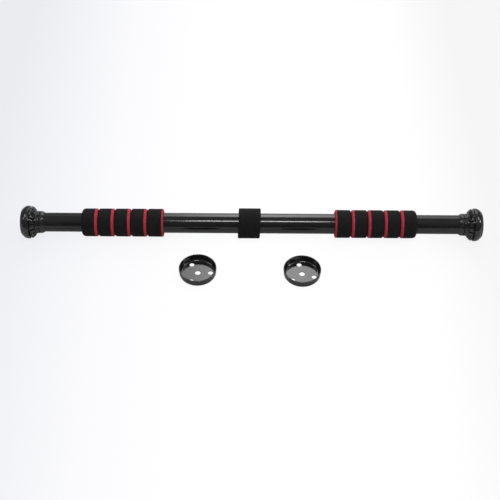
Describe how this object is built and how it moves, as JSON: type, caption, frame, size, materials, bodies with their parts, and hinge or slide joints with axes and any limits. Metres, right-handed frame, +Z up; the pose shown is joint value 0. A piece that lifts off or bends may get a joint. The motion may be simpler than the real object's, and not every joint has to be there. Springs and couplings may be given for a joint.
{
  "type": "pull up bar",
  "caption": "Telescopic doorway pull up bar with banded foam grips, a centre sleeve, round feet that screw out against the walls, and loose wall cups.",
  "frame": {"origin": "on the bar's axis, at the middle of the centre sleeve; the surface that the bar and cups lie on is 25 mm below", "axes": "+X along the bar to its right end, +Y away from the user, +Z up"},
  "size_m": [0.6985, 0.1348, 0.05],
  "materials": {
    "black_tube_paint": "gloss black stoved paint on steel tube",
    "cup_paint": "gloss black stoved paint on pressed steel",
    "black_foam": "matt closed-cell foam with fine pores",
    "red_foam": "matt closed-cell foam with fine pores",
    "gloss_black_pvc": "glossy soft moulded PVC",
    "pad_rubber": "satin non-slip rubber",
    "black_nylon": "moulded nylon, satin",
    "white_nylon": "moulded nylon, natural, waxy",
    "plated_steel": "bright zinc plate",
    "oiled_steel": "rolled steel, lightly oiled",
    "nut_brass": "turned brass"
  },
  "bodies": {
    "bar": {"main_tube": "black_tube_paint", "core_plug": "black_nylon", "core_rivets": "plated_steel", "rod_pins": "plated_steel", "centre_sleeve": "black_foam", "left_screw_rod": "oiled_steel", "left_stop_washer": "plated_steel", "left_stop_bolt": "plated_steel", "left_mouth_bush": "black_nylon", "left_black_foam_1": "black_foam", "left_red_foam_1": "red_foam", "left_black_foam_2": "black_foam", "left_red_foam_2": "red_foam", "left_black_foam_3": "black_foam", "left_red_foam_3": "red_foam", "left_black_foam_4": "black_foam", "left_red_foam_4": "red_foam", "left_black_foam_5": "black_foam", "left_red_foam_5": "red_foam", "right_screw_rod": "oiled_steel", "right_stop_washer": "plated_steel", "right_stop_bolt": "plated_steel", "right_mouth_bush": "black_nylon", "right_black_foam_1": "black_foam", "right_red_foam_1": "red_foam", "right_black_foam_2": "black_foam", "right_red_foam_2": "red_foam", "right_black_foam_3": "black_foam", "right_red_foam_3": "red_foam", "right_black_foam_4": "black_foam", "right_red_foam_4": "red_foam", "right_black_foam_5": "black_foam", "right_red_foam_5": "red_foam"},
    "left_glide": {"left_glide_ring": "white_nylon"},
    "left_end": {"left_end_tube": "black_tube_paint", "left_drive_nut": "nut_brass", "left_nut_pins": "plated_steel", "left_rubber_foot": "gloss_black_pvc", "left_wall_pad": "pad_rubber", "left_load_washer": "plated_steel", "left_end_plug": "black_nylon", "left_foot_screw": "plated_steel", "left_collar": "gloss_black_pvc"},
    "left_cup": {"left_wall_cup": "cup_paint"},
    "right_glide": {"right_glide_ring": "white_nylon"},
    "right_end": {"right_end_tube": "black_tube_paint", "right_drive_nut": "nut_brass", "right_nut_pins": "plated_steel", "right_rubber_foot": "gloss_black_pvc", "right_wall_pad": "pad_rubber", "right_load_washer": "plated_steel", "right_end_plug": "black_nylon", "right_foot_screw": "plated_steel", "right_collar": "gloss_black_pvc"},
    "right_cup": {"right_wall_cup": "cup_paint"}
  },
  "joints": [
    {"name": "left_extend", "type": "slide", "parent": "bar", "child": "left_glide", "axis": [-1, 0, 0], "range_m": [-0.0355, 0.1295]},
    {"name": "left_turn", "type": "hinge", "parent": "left_glide", "child": "left_end", "pos_m": [-0.0578, 0, 0], "axis": [1, 0, 0], "range_deg": [-2557, 9325]},
    {"name": "left_cup_lift", "type": "slide", "parent": "bar", "child": "left_cup", "axis": [0, 0, 1], "range_m": [0, 0.12]},
    {"name": "right_extend", "type": "slide", "parent": "bar", "child": "right_glide", "axis": [1, 0, 0], "range_m": [-0.043, 0.122]},
    {"name": "right_turn", "type": "hinge", "parent": "right_glide", "child": "right_end", "pos_m": [0.0653, 0, 0], "axis": [1, 0, 0], "range_deg": [-3097, 8785]},
    {"name": "right_cup_lift", "type": "slide", "parent": "bar", "child": "right_cup", "axis": [0, 0, 1], "range_m": [0, 0.12]}
  ],
  "couplings": [
    {"joint": "left_turn", "follows": "left_extend", "rad_per_m": 1256.6},
    {"joint": "right_turn", "follows": "right_extend", "rad_per_m": 1256.6}
  ]
}
